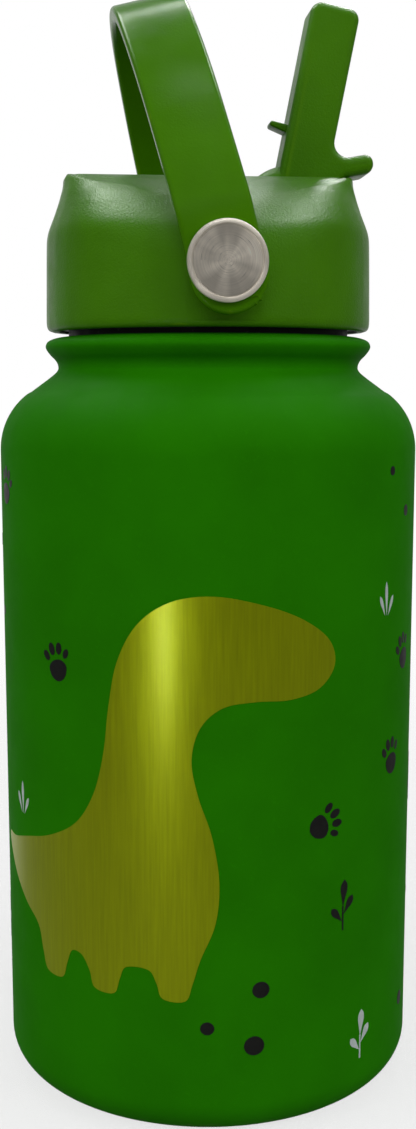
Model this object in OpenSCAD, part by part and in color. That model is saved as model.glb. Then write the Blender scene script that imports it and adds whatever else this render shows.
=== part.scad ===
// Kids' insulated drinking bottle: a vacuum-walled steel body, a screw-on lid with a
// flip-up drinking spout and straw, and a swinging carry handle.
// The origin is the centre of the base. +Z is up, the spout is on the +X side of the lid,
// and the handle's two pivots are on the lid's -Y and +Y sides.

/* [Body] */
// Outer radius of the body
body_r = 36.5; // [34:0.5:40]
// Radius of the rounded corner at the base
base_corner_r = 6.3; // [4:0.1:8]
// Height at which the straight side ends and the shoulder starts
shoulder_z = 111.5; // [105:0.5:114]
// Thickness of the steel walls
steel_t = 0.5; // [0.4:0.1:0.8]
// Outer radius of the inner vessel
liner_r = 33.2; // [32:0.1:33.6]
// Height of the inner vessel's floor above the table
liner_floor_z = 7.6; // [7:0.1:9]

/* [Neck] */
// Outer radius of the groove under the rim
neck_r = 26.2; // [26:0.1:26.6]
// Outer radius of the rolled rim
rim_r = 28.35; // [28:0.05:28.6]
// Height of the top of the rim
rim_z = 130.5; // [130:0.1:131]
// Radius of the mouth, to the plain wall between the threads
mouth_r = 23.2; // [23.1:0.1:23.4]
// Rise of the lid in one turn
thread_lead = 4; // [3.6:0.1:4.4]
// Turns of thread on each part
thread_turns = 1.25; // [1:0.05:1.4]

/* [Lid] */
// Outer radius of the lid at its lower edge
lid_r = 28.1; // [27.9:0.05:28.3]
// Height of the lid's lower edge
lid_z = 131.7; // [131.5:0.1:132.1]
// Height at which the sides start to taper
lid_taper_z = 147.3; // [146:0.1:148]
// Height of the flat top
lid_top_z = 157.8; // [157:0.1:159]
// Radius of the lid at its flat top
lid_top_r = 24.9; // [24.5:0.1:25.5]
// Half width of the flat top, where the front and back start to slope gently
lid_flat_y = 6.9; // [6.9:0.1:8]
// Where the steep front and back facets, carried on upwards, would meet the flat top
lid_facet_y = 12.3; // [11.8:0.1:13]
// Thickness of the lid's plastic walls
lid_t = 2; // [1.8:0.1:2.2]

/* [Spout] */
// Distance of the spout's hinge from the bottle's axis
spout_x = 14; // [13:0.1:14.5]
// Height of the spout's hinge
spout_z = 151; // [150.5:0.1:151.5]
// Radius of the spout's hub
hub_r = 9; // [8.6:0.1:9.2]
// Lean of the open spout towards +X
spout_lean = 11.2; // [8:0.1:14]
// Length of the spout from its hinge to its tip
spout_len = 35.2; // [33:0.1:36]
// Thickness of the spout, front to back as it flips
spout_t = 8.4; // [8:0.1:8.8]
// Width of the spout and its hub along the hinge
spout_w = 8.8; // [8.4:0.1:9.2]

/* [Handle] */
// Height of the handle's pivots
pivot_z = 141.3; // [141:0.1:141.6]
// Lean of the handle towards -X
handle_lean = 13.8; // [8:0.1:18]
// Width of the handle's strap
strap_w = 11.8; // [11:0.1:12.4]
// Thickness of the handle's strap
strap_t = 2.6; // [2.2:0.1:2.8]
// Distance of the legs' middle planes from the bottle's axis
leg_y = 30.2; // [30.1:0.05:30.4]
// Radius of the pivot studs' shanks
stud_r = 3; // [2.6:0.1:3.2]
// Radius of the steel caps on the studs
cap_r = 6.25; // [6:0.05:6.5]

/* [Hidden] */
$fn = 96;
tiny = 0.02;
big = 100;

// Shoulder: an arc down to shoulder_angle, then a straight slope into the neck groove
shoulder_arc_r = 12;
shoulder_angle = 53;
shoulder_arc_x = body_r - shoulder_arc_r;
slope_x = shoulder_arc_x + shoulder_arc_r * cos(shoulder_angle);
slope_z = shoulder_z + shoulder_arc_r * sin(shoulder_angle);
rim_mid_z = 129.4;
rim_flat_r = 26.6;

liner_neck_r = mouth_r + 0.8;
liner_shoulder_z = 110;
liner_shoulder_top_z = 120.5;
liner_t = 0.5;
liner_corner_r = 5;
cup_z = 14;

thread_top_z = 127.2;
thread_depth = 1;
core_r = 21.4;
thread_clearance = 0.4;
flank_gap = 1.45;
thread_steps = 30;

seal_r = 24.3;
insert_low_z = 116;
insert_floor_z = 136;
insert_t = 1.8;
straw_r = 3.4;
straw_bore_r = 2.7;
straw_low_z = 10.5;

channel_w = spout_w + 1.4;
channel_floor_z = 146.7;
channel_end_x = -22.2;
pocket_r = hub_r + 0.6;
pin_r = 1.6;
pin_in_y = 3.1;
pin_out_y = 7.2;
bush_r = 3.2;
bush_top_z = 144.1;
cheek_w = 13;
cheek_y = 28.4;
lid_inner_r = lid_r - lid_t;
facet_slope = (lid_top_z - lid_taper_z) / (lid_r - 0.2 - lid_facet_y);

tab_root = [4, 8.7];
tab_rise = 21.5;
tab_t = 3.25;
tab_len = 8.7;
spout_shift = 0.6;
fin_s = 15.2;
fin_t = 1.4;
fin_reach = 3.1;

leg_straight_h = 6.5;
leg_angle = 20;
bend_r = 12;
side_r = 53.5;
crown_r = 18;
crown_angle = 45;
crown_top_h = 45.2;
foot_drop = 1.9;
foot_r = 6.1;

green = [0.11, 0.39, 0.02];
lid_green = [0.22, 0.42, 0.02];
steel = [0.72, 0.71, 0.69];
black = [0.06, 0.06, 0.06];

// ---- shared shapes ----

// Points along an arc, from angle a0 to a1 in n equal steps
function arc(centre, r, a0, a1, n) = [
  for (i = [0 : n])
    let (a = a0 + (a1 - a0) * i / n)
    [centre[0] + r * cos(a), centre[1] + r * sin(a)]
];

// A helical ridge with a trapezoid section, rising counterclockwise.
// root_r lies inside the wall that carries it, and crest_r is the ridge's free edge.
module thread_ridge(root_r, crest_r, z0, root_w, crest_w, turns) {
  steps = round(thread_steps * turns);
  ends = 3;
  function taper(i) = min(1, (i + 0.25) / ends, (steps - i + 0.25) / ends);
  function section(i) = [
    let (a = 360 * i / thread_steps, z = z0 + thread_lead * i / thread_steps)
    let (r = root_r + (crest_r - root_r) * taper(i))
    for (p = [[root_r, -root_w / 2], [r, -crest_w / 2], [r, crest_w / 2], [root_r, root_w / 2]])
      [p[0] * cos(a), p[0] * sin(a), z + p[1]]
  ];
  points = [for (i = [0 : steps]) each section(i)];
  outward = crest_r > root_r;
  sides = [
    for (i = [0 : steps - 1], k = [0 : 3])
      let (a = 4 * i + k, b = 4 * i + (k + 1) % 4)
      each [[a, b, b + 4], [a, b + 4, a + 4]]
  ];
  last = 4 * steps;
  caps = [[3, 2, 1, 0], [last, last + 1, last + 2, last + 3]];
  faces = concat(sides, caps);
  polyhedron(
    points = points,
    faces = outward ? faces : [for (f = faces) [for (k = [len(f) - 1 : -1 : 0]) f[k]]]
  );
}

// ---- steel body ----

// The half section of the outer shell's outer surface, moved inwards by inset
module shell_half_section(inset) {
  low_r = base_corner_r - inset;
  arc_r = shoulder_arc_r - inset;
  cap_x = shoulder_arc_x + arc_r * cos(shoulder_angle);
  cap_z = shoulder_z + arc_r * sin(shoulder_angle);
  groove_x = neck_r - inset;
  fall = (cap_x - groove_x) / tan(shoulder_angle);
  translate([body_r - base_corner_r, base_corner_r]) circle(low_r);
  translate([0, inset]) square([body_r - base_corner_r, base_corner_r]);
  translate([0, base_corner_r]) square([body_r - inset, shoulder_z - base_corner_r]);
  intersection() {
    translate([shoulder_arc_x, shoulder_z]) circle(arc_r);
    translate([0, shoulder_z - 1]) square([big, cap_z - shoulder_z + 1]);
  }
  polygon([
    [0, shoulder_z - 1], [shoulder_arc_x + 1, shoulder_z - 1],
    [cap_x, cap_z], [groove_x, cap_z + fall], [groove_x, rim_z - inset], [0, rim_z - inset]
  ]);
}

// The rolled rim at the mouth
module rim_half_section(inset) {
  polygon([
    [neck_r - 1, 126.2], [neck_r - inset, 126.2], [26.7 - inset, 127], [27.9 - inset, 128.2],
    [rim_r - inset, rim_mid_z - 0.2], [rim_r - inset, rim_mid_z + 0.2],
    [27.9 - inset, 130.1 - inset / 2], [rim_flat_r, rim_z - inset], [neck_r - 1, rim_z - inset]
  ]);
}

module outer_shell() {
  color(green) rotate_extrude($fn = 180) difference() {
    union() {
      shell_half_section(0);
      rim_half_section(0);
    }
    shell_half_section(steel_t);
    rim_half_section(steel_t);
    translate([-1, -1]) square([27, 4]);
    translate([-1, -1]) square([liner_neck_r + 1.02, 140]);
  }
}

// The disc welded into the base, with a dimple round the evacuation hole
module base_disc() {
  color(steel) rotate_extrude() difference() {
    union() {
      translate([0, 1.2]) square([25.9, 0.6]);
      translate([25.2, 0.05]) square([0.7, 1.7]);
      translate([0, 1.8]) square([9, 1.4]);
    }
    translate([-1, 1]) square([2, 3]);
    translate([-1, 1]) square([9.4, 1.6]);
  }
}

module vacuum_seal_bead() {
  color([0.35, 0.36, 0.33]) {
    translate([0, 0, 1.9]) cylinder(r = 5, h = 0.68, $fn = 48);
    translate([0, 0, 2.2]) cylinder(r = 0.96, h = 0.9, $fn = 32);
  }
}

module inner_liner() {
  neck_out = liner_neck_r;
  color(steel) {
    rotate_extrude($fn = 180) polygon([
      [liner_r, cup_z], [liner_r, liner_shoulder_z], [liner_r - 2.4, liner_shoulder_z + 4.6],
      [neck_out, liner_shoulder_top_z], [neck_out, rim_z], [mouth_r, rim_z],
      [mouth_r, liner_shoulder_top_z - 0.4], [liner_r - 2.9, liner_shoulder_z + 4.2],
      [liner_r - liner_t, liner_shoulder_z], [liner_r - liner_t, cup_z]
    ]);
    thread_ridge(
      mouth_r + 0.3, mouth_r - thread_depth,
      thread_top_z - thread_lead * thread_turns, 1.6, 0.7, thread_turns
    );
  }
}

// The pressed cup that closes the inner vessel, welded to the liner's lower edge
module liner_bottom_cup() {
  corner = [liner_r - liner_corner_r, liner_floor_z + liner_corner_r];
  color(steel) rotate_extrude($fn = 180) polygon(concat(
    [[0, liner_floor_z]],
    arc(corner, liner_corner_r, -90, 0, 8),
    [[liner_r, cup_z], [liner_r - liner_t, cup_z]],
    arc(corner, liner_corner_r - liner_t, 0, -90, 8),
    [[0, liner_floor_z + liner_t]]
  ));
}

module getter_holder() {
  color(steel) difference() {
    translate([12, 0, liner_floor_z - 1.8]) cylinder(r = 5, h = 1.8, $fn = 48);
    translate([12, 0, liner_floor_z - 2]) cylinder(r = 4.4, h = 1.6, $fn = 48);
  }
}

module getter_pellet() {
  color([0.3, 0.3, 0.32])
    translate([12, 0, liner_floor_z - 1.9]) cylinder(r = 4.1, h = 1.4, $fn = 48);
}

// ---- lid ----

module lid_seal_ring() {
  color(black) rotate_extrude() {
    translate([core_r + 0.3, rim_z + 0.05]) square([seal_r - core_r - 0.3, 1.45]);
    translate([core_r + 0.3, rim_z - 0.9]) square([1.1, 1.2]);
  }
}

// Everything above the sloping front and back of the lid, moved inwards by inset: the steep
// facets, and half as steep ones that soften their crest
module facet_cutters(inset) {
  for (side = [-1, 1])
    for (cut = [[lid_facet_y, atan(facet_slope)], [lid_flat_y, atan(facet_slope / 2)]])
      translate([0, side * (cut[0] - inset * tan(cut[1] / 2)), lid_top_z - inset])
        rotate([-side * cut[1], 0, 0])
          translate([-big / 2, side > 0 ? 0 : -big, 0]) cube([big, big, big]);
}

module lid_outline() {
  difference() {
    rotate_extrude($fn = 180) polygon([
      [0, lid_z], [lid_r - 0.6, lid_z], [lid_r, lid_z + 0.6], [lid_r - 0.25, lid_taper_z],
      [lid_r - 1.3, 150.4], [lid_r - 2.4, 153.4], [lid_top_r, 156.6],
      [lid_top_r - 0.2, lid_top_z - 0.5], [lid_top_r - 0.7, lid_top_z], [0, lid_top_z]
    ]);
    facet_cutters(0);
  }
}

// Flat pads that the handle's legs turn against
module lid_cheeks() {
  for (side = [-1, 1])
    translate([-cheek_w / 2, side > 0 ? lid_inner_r - 1 : -cheek_y, lid_z + 0.8])
      cube([cheek_w, cheek_y - lid_inner_r + 1, 14.6]);
}

// The solid that the spout's channel and hub pocket are cut from
module spout_well(grow) {
  translate([channel_end_x - grow, -channel_w / 2 - grow, channel_floor_z - grow])
    cube([spout_x - channel_end_x + grow, channel_w + 2 * grow, big]);
  translate([spout_x, 0, spout_z]) rotate([90, 0, 0])
    cylinder(r = pocket_r + grow, h = channel_w + 2 * grow, center = true);
  translate([spout_x - pocket_r - grow, -channel_w / 2 - grow, spout_z])
    cube([2 * (pocket_r + grow), channel_w + 2 * grow, big]);
}

module lid_cavity() {
  difference() {
    rotate_extrude($fn = 180) polygon([
      [0, lid_z - 1], [lid_inner_r, lid_z - 1], [lid_inner_r, lid_taper_z - 0.6],
      [lid_top_r - 2, 154.6], [lid_top_r - 2.6, lid_top_z - lid_t], [0, lid_top_z - lid_t]
    ]);
    facet_cutters(lid_t);
    spout_well(lid_t - 0.4);
    translate([vent_x(), 0, insert_floor_z + 2.2]) cylinder(r = bush_r + 1.2, h = 12);
  }
}

module lid_shell() {
  color(lid_green) difference() {
    union() {
      lid_outline();
      lid_cheeks();
    }
    lid_cavity();
    spout_well(0);
    // hinge pin
    translate([spout_x, 0, spout_z]) rotate([90, 0, 0])
      cylinder(r = pin_r + tiny, h = 2 * pin_out_y + 2, center = true, $fn = 48);
    // water port under the hub
    translate([spout_x, 0, 138]) cylinder(r = straw_r + 1.6, h = 6, $fn = 48);
    // seat of the vent bush, and the slot that the spout's fin enters above it
    translate([vent_x(), 0, insert_floor_z]) cylinder(r = bush_r + 0.03, h = bush_top_z - insert_floor_z);
    translate([vent_x(), 0, channel_floor_z - 1]) cube([3, 5.4, 4], center = true);
    // handle studs
    for (side = [-1, 1])
      translate([0, side * cheek_y, pivot_z]) rotate([90, 0, 0])
        cylinder(r = stud_r + tiny, h = 8, center = true, $fn = 48);
  }
}

// Where the spout's fin meets the channel floor when the spout is closed
function vent_x() = spout_x - fin_s;

// The black insert inside the lid, with the male thread and the straw's socket
module threaded_insert() {
  color(black) {
    difference() {
      union() {
        rotate_extrude($fn = 180) polygon([
          [core_r - insert_t, insert_low_z], [core_r, insert_low_z], [core_r, 132.1],
          [lid_inner_r - 0.05, 132.1], [lid_inner_r - 0.05, 134], [core_r, 134],
          [core_r, insert_floor_z + 1.6], [0, insert_floor_z + 1.6], [0, insert_floor_z],
          [core_r - insert_t, insert_floor_z]
        ]);
        translate([spout_x, 0, 124]) cylinder(r = straw_r + 1.4, h = insert_floor_z - 123);
        translate([spout_x, 0, insert_floor_z]) cylinder(r = straw_r + 1.4, h = 2.9);
      }
      translate([spout_x, 0, 123]) cylinder(r = straw_r, h = 11, $fn = 48);
      translate([spout_x, 0, 123]) cylinder(r = straw_bore_r, h = 20, $fn = 48);
      translate([vent_x(), 0, 130]) cylinder(r = 1.2, h = 10, $fn = 32);
    }
    thread_ridge(
      core_r - 0.4, mouth_r - thread_clearance,
      thread_top_z - thread_lead * thread_turns - flank_gap, 1.8, 0.7, thread_turns
    );
  }
}

module drinking_straw() {
  color([0.92, 0.94, 0.92, 0.8]) translate([spout_x, 0, straw_low_z]) difference() {
    cylinder(r = straw_r - 0.05, h = 133.9 - straw_low_z, $fn = 48);
    translate([0, 0, -1]) cylinder(r = straw_bore_r, h = 140, $fn = 48);
    translate([-6, -1.2, -0.1]) cube([12, 2.4, 2.4]);
  }
}

// Silicone seat under the hub
module spout_seat_seal() {
  color([0.9, 0.9, 0.9]) difference() {
    translate([spout_x, 0, insert_floor_z + 2.95])
      cylinder(r = straw_r + 1.5, h = spout_z - hub_r - insert_floor_z - 2.6, $fn = 48);
    translate([spout_x, 0, insert_floor_z]) cylinder(r = straw_bore_r, h = 12, $fn = 48);
    translate([spout_x, 0, spout_z]) rotate([90, 0, 0])
      cylinder(r = hub_r + 0.05, h = 20, center = true);
  }
}

// Silicone bush in the vent port, which the spout's fin stops when it closes
module vent_plug_seal() {
  low_z = insert_floor_z + 1.65;
  color([0.9, 0.9, 0.9]) translate([vent_x(), 0, low_z]) difference() {
    cylinder(r = bush_r, h = bush_top_z - low_z - 0.1, $fn = 48);
    translate([0, 0, -1]) cylinder(r = 1, h = 20, $fn = 32);
  }
}

// ---- spout: drawn upright from its hinge, then leaned ----

module spout_upright() {
  difference() {
    union() {
      rotate([90, 0, 0]) cylinder(r = hub_r, h = spout_w, center = true);
      translate([spout_shift - spout_t / 2, -spout_w / 2, 0])
        cube([spout_t, spout_w, spout_len]);
      // thumb tab
      translate([tab_root[0], -spout_w / 2, tab_root[1]]) rotate([0, -tab_rise, 0])
        translate([0, 0, -tab_t / 2]) cube([tab_len, spout_w, tab_t]);
      // web that joins the tab to the spout
      translate([0, -spout_w / 2, 4]) cube([hub_r - 1.6, spout_w, tab_root[1] - 4]);
      // vent fin
      translate([spout_shift - spout_t / 2 - fin_reach, -2.2, fin_s - fin_t / 2])
        cube([fin_reach + 1, 4.4, fin_t]);
    }
    // drinking bore
    translate([spout_shift, 0, 2]) cylinder(r = 2.4, h = spout_len, $fn = 48);
    // port through the hub to the straw
    rotate([0, -spout_lean, 0]) translate([0, 0, -hub_r - 1])
      cylinder(r = straw_bore_r, h = hub_r - 2, $fn = 48);
    translate([spout_shift, 0, 2]) rotate([0, 180, 0]) cylinder(r = 2.4, h = 6.5, $fn = 48);
    // hinge pin
    for (side = [-1, 1])
      translate([0, side * pin_out_y, 0]) rotate([90, 0, 0])
        cylinder(r = pin_r + 0.05, h = 2 * (pin_out_y - pin_in_y + 0.15), center = true, $fn = 48);
  }
}

module spout() {
  color(lid_green) translate([spout_x, 0, spout_z]) rotate([0, spout_lean, 0])
    spout_upright();
}

// Two short pins, so that the water's way through the hub stays clear
module spout_pin() {
  color(steel) for (side = [-1, 1])
    translate([spout_x, side * (pin_in_y + pin_out_y) / 2, spout_z]) rotate([90, 0, 0])
      cylinder(r = pin_r, h = pin_out_y - pin_in_y, center = true, $fn = 48);
}

// ---- handle: drawn upright from its pivots, then leaned ----

// Points along one side of the strap's arch, offset out from its middle line, from the
// foot to the crown. X is across the bottle and Y is up from the pivots.
function arch_side(offset) =
  let (
    crown = [0, crown_top_h - crown_r],
    side = crown + (crown_r - side_r) * [cos(crown_angle), sin(crown_angle)],
    bend = [leg_y - bend_r, leg_straight_h]
  )
  concat(
    [[leg_y + offset, 0]],
    arc(bend, bend_r + offset, 0, leg_angle, 3),
    arc(side, side_r + offset, leg_angle, crown_angle, 6),
    arc(crown, crown_r + offset, crown_angle + 7, 90, 6)
  );

function mirrored(points) = [
  for (i = [len(points) - 1 : -1 : 0]) [-points[i][0], points[i][1]]
];

function reversed(points) = [for (i = [len(points) - 1 : -1 : 0]) points[i]];

module arch() {
  outer = arch_side(strap_t / 2);
  inner = arch_side(-strap_t / 2);
  polygon(concat(outer, mirrored(outer), mirrored(reversed(inner)), reversed(inner)));
}

module carry_handle() {
  color(lid_green) translate([0, 0, pivot_z]) rotate([0, -handle_lean, 0]) difference() {
    union() {
      rotate([90, 0, 90]) linear_extrude(strap_w, center = true) arch();
      for (side = [-1, 1]) translate([0, side * leg_y, 0]) rotate([90, 0, 0]) {
        translate([0, -foot_drop, 0]) cylinder(r = foot_r, h = strap_t, center = true);
        translate([0, 0.5, 0]) cube([strap_w, 4, strap_t], center = true);
      }
    }
    for (side = [-1, 1]) translate([0, side * leg_y, 0]) rotate([90, 0, 0])
      cylinder(r = stud_r + 0.06, h = 6, center = true, $fn = 48);
  }
}

// ---- pivot studs and their caps: side is -1 at the front and 1 at the rear ----

module stud(side) {
  inner = 25;
  head_y = leg_y + strap_t / 2 + 0.1;
  color(steel) translate([0, 0, pivot_z]) rotate([-side * 90, 0, 0]) {
    translate([0, 0, inner]) cylinder(r = stud_r, h = head_y - inner + 0.5, $fn = 48);
    translate([0, 0, head_y]) cylinder(r = 5.2, h = 0.6, $fn = 64);
  }
}

module stud_cap(side) {
  seat_y = leg_y + strap_t / 2 + 0.1;
  color(steel) translate([0, 0, pivot_z]) rotate([-side * 90, 0, 0])
    translate([0, 0, seat_y]) difference() {
      union() {
        cylinder(r = cap_r, h = 1.1);
        translate([0, 0, 1.1]) cylinder(r1 = cap_r, r2 = cap_r - 0.45, h = 0.3);
      }
      translate([0, 0, -0.1]) cylinder(r = 5.22, h = 0.72, $fn = 64);
      translate([0, 0, 1.2]) cylinder(r = 5.5, h = 1);
    }
}

module handle_stud_front() { stud(-1); }
module handle_stud_rear() { stud(1); }
module stud_cap_front() { stud_cap(-1); }
module stud_cap_rear() { stud_cap(1); }

outer_shell();
base_disc();
vacuum_seal_bead();
inner_liner();
liner_bottom_cup();
getter_holder();
getter_pellet();
lid_seal_ring();
lid_shell();
threaded_insert();
drinking_straw();
spout_seat_seal();
vent_plug_seal();
spout();
spout_pin();
carry_handle();
handle_stud_front();
handle_stud_rear();
stud_cap_front();
stud_cap_rear();
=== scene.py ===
# Looks of a kids' insulated drinking bottle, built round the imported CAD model.
# Shapes are written in millimetres and turned into metres when their mesh is made.
import math

import bmesh
import bpy
import numpy as np
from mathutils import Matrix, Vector


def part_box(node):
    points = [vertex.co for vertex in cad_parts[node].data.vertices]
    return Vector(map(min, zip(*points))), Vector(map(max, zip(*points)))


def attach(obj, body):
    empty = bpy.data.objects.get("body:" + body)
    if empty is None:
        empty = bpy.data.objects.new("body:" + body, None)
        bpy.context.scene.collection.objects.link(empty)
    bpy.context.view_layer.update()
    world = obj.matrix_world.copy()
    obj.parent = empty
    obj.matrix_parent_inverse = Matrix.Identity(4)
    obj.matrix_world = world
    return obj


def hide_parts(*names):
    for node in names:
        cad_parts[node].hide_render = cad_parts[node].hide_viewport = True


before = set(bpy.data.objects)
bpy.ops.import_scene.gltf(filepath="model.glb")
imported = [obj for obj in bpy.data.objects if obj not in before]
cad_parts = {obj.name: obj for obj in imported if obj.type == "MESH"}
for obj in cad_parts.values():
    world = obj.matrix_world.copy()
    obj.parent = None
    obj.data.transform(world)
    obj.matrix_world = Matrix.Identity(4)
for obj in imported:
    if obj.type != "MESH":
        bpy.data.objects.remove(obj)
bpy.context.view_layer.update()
MM = 0.001


# ---- places taken from the CAD nodes, in millimetres ----

def node_box(name):
    low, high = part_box(name)
    return low / MM, high / MM


BODY_R = node_box("outer_shell")[1].x
LID_Z = node_box("lid_shell")[0].z
LID_TOP = node_box("lid_shell")[1].z
CAP_LOW, CAP_HIGH = node_box("stud_cap_front")
PIVOT_Z = (CAP_LOW.z + CAP_HIGH.z) / 2
CAP_R = (CAP_HIGH.z - CAP_LOW.z) / 2
PIN_LOW, PIN_HIGH = node_box("spout_pin")
SPOUT_X = (PIN_LOW.x + PIN_HIGH.x) / 2
SPOUT_Z = (PIN_LOW.z + PIN_HIGH.z) / 2

# The side of the bottle that the camera looks at, and the camera's own place
VIEW_TURN = 5.4
CAMERA_DISTANCE = 249.3
CAMERA_Z = 122.7
CAMERA_DOWN = 8.74
CAMERA_LENS = 44.56
CAMERA_SHIFT_Y = 0.031


# ---- small geometry helpers ----

def arc(cx, cy, r, a0, a1, steps):
    """steps + 1 points along an arc, with the angles in degrees."""
    turns = [math.radians(a0 + (a1 - a0) * i / steps) for i in range(steps + 1)]
    return [(cx + r * math.cos(a), cy + r * math.sin(a)) for a in turns]


def spline(points, per_span, closed=False):
    """A smooth line through the points, with per_span points to each span."""
    n = len(points)
    spans = n if closed else n - 1
    made = []
    for i in range(spans):
        ids = [i - 1, i, i + 1, i + 2]
        p = [Vector(points[k % n] if closed else points[min(max(k, 0), n - 1)]) for k in ids]
        for s in range(per_span):
            t = s / per_span
            made.append(tuple(0.5 * (
                2 * p[1] + (p[2] - p[0]) * t + (2 * p[0] - 5 * p[1] + 4 * p[2] - p[3]) * t * t
                + (3 * p[1] - p[0] - 3 * p[2] + p[3]) * t ** 3
            )))
    if not closed:
        made.append(tuple(points[-1]))
    return made


def filleted(corners, steps=6):
    """A closed outline through (x, y, radius) corners, each rounded to its radius."""
    made = []
    for i, (x, y, r) in enumerate(corners):
        p = Vector((x, y))
        a = (Vector(corners[i - 1][:2]) - p).normalized()
        b = (Vector(corners[(i + 1) % len(corners)][:2]) - p).normalized()
        if r == 0:
            made.append((x, y))
            continue
        half = a.angle(b) / 2
        centre = p + (a + b).normalized() * r / math.sin(half)
        first = p + a * r / math.tan(half) - centre
        last = p + b * r / math.tan(half) - centre
        start = math.atan2(first.y, first.x)
        turn = (math.atan2(last.y, last.x) - start + math.pi) % (2 * math.pi) - math.pi
        for k in range(steps + 1):
            angle = start + turn * k / steps
            made.append((centre.x + r * math.cos(angle), centre.y + r * math.sin(angle)))
    return made


def inset(outline, distance):
    """A closed counterclockwise outline moved inwards."""
    made = []
    for i, point in enumerate(outline):
        p = Vector(point)
        before = (p - Vector(outline[i - 1])).normalized()
        after = (Vector(outline[(i + 1) % len(outline)]) - p).normalized()
        normal = Vector((-before.y - after.y, before.x + after.x)).normalized()
        reach = distance / max(0.4, normal.dot(Vector((-before.y, before.x))))
        made.append(tuple(p + normal * reach))
    return made


def revolve(profile, steps, place=lambda r, a, h: (r * math.cos(a), r * math.sin(a), h)):
    """A solid of revolution from (radius, height) points. It is closed at the axis, or as a ring."""
    verts, rows = [], []
    for r, h in profile:
        count = 1 if r == 0 else steps
        rows.append([len(verts) + k for k in range(count)])
        verts += [place(r, 2 * math.pi * k / steps, h) for k in range(count)]
    pairs = list(zip(rows, rows[1:]))
    if len(rows[0]) > 1 and len(rows[-1]) > 1:
        pairs.append((rows[-1], rows[0]))
    faces = []
    for low, high in pairs:
        for k in range(steps):
            quad = [low[k % len(low)], low[(k + 1) % len(low)],
                    high[(k + 1) % len(high)], high[k % len(high)]]
            face = list(dict.fromkeys(quad))
            if len(face) > 2:
                faces.append(face)
    return verts, faces


def slab(outline, low, high, edge, place, steps=5, strips=False):
    """A plate with a counterclockwise outline and rounded edges, from w = low to w = high."""
    rings = []
    for k in range(steps + 1):
        turn = math.pi / 2 * k / steps
        rings.append((edge * (1 - math.sin(turn)), low + edge * (1 - math.cos(turn))))
    rings += [(d, low + high - w) for d, w in reversed(rings)]
    n = len(outline)
    verts = [place(u, v, w) for d, w in rings for u, v in inset(outline, d)]
    faces = [
        [j * n + i, j * n + (i + 1) % n, (j + 1) * n + (i + 1) % n, (j + 1) * n + i]
        for j in range(len(rings) - 1) for i in range(n)
    ]
    last = (len(rings) - 1) * n
    if strips:
        for i in range(n // 2 - 1):
            strip = [i, i + 1, n - 2 - i, n - 1 - i]
            faces += [strip[::-1], [last + k for k in strip]]
    else:
        faces += [list(range(n))[::-1], list(range(last, last + n))]
    return verts, faces


def make_mesh(name, shape, tidy_normals=True):
    verts, faces = shape
    mesh = bpy.data.meshes.new(name)
    mesh.from_pydata([tuple(c * MM for c in v) for v in verts], [], faces)
    if tidy_normals:
        bm = bmesh.new()
        bm.from_mesh(mesh)
        bmesh.ops.recalc_face_normals(bm, faces=bm.faces)
        bm.to_mesh(mesh)
        bm.free()
    obj = bpy.data.objects.new(name, mesh)
    bpy.context.scene.collection.objects.link(obj)
    return obj


def combine(obj, shapes, operation):
    """Cuts the shapes from obj, or adds them to it, and keeps the result as its mesh."""
    tools = [make_mesh("tool", shape) for shape in shapes]
    for tool in tools:
        cut = obj.modifiers.new("cut", "BOOLEAN")
        cut.operation, cut.solver, cut.object = operation, "EXACT", tool
    graph = bpy.context.evaluated_depsgraph_get()
    mesh = bpy.data.meshes.new_from_object(obj.evaluated_get(graph))
    obj.modifiers.clear()
    obj.data = mesh
    for tool in tools:
        bpy.data.objects.remove(tool)


def bored(obj, radius, spans, place):
    """Bores a round hole in obj over each span of its axis."""
    combine(obj, [revolve([(0, low), (radius, low), (radius, high), (0, high)], 48, place)
                  for low, high in spans], "DIFFERENCE")


def piece(obj, material, body, replaced=(), sharp=32.0):
    """Finishes a piece: smooth shading, material, and the CAD body that it rides on."""
    mesh = obj.data
    mesh.materials.clear()
    mesh.materials.append(material)
    mesh.polygons.foreach_set("use_smooth", [True] * len(mesh.polygons))
    mesh.set_sharp_from_angle(angle=math.radians(sharp))
    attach(obj, body)
    if replaced:
        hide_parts(*replaced)
    return obj


# ---- materials ----

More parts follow.
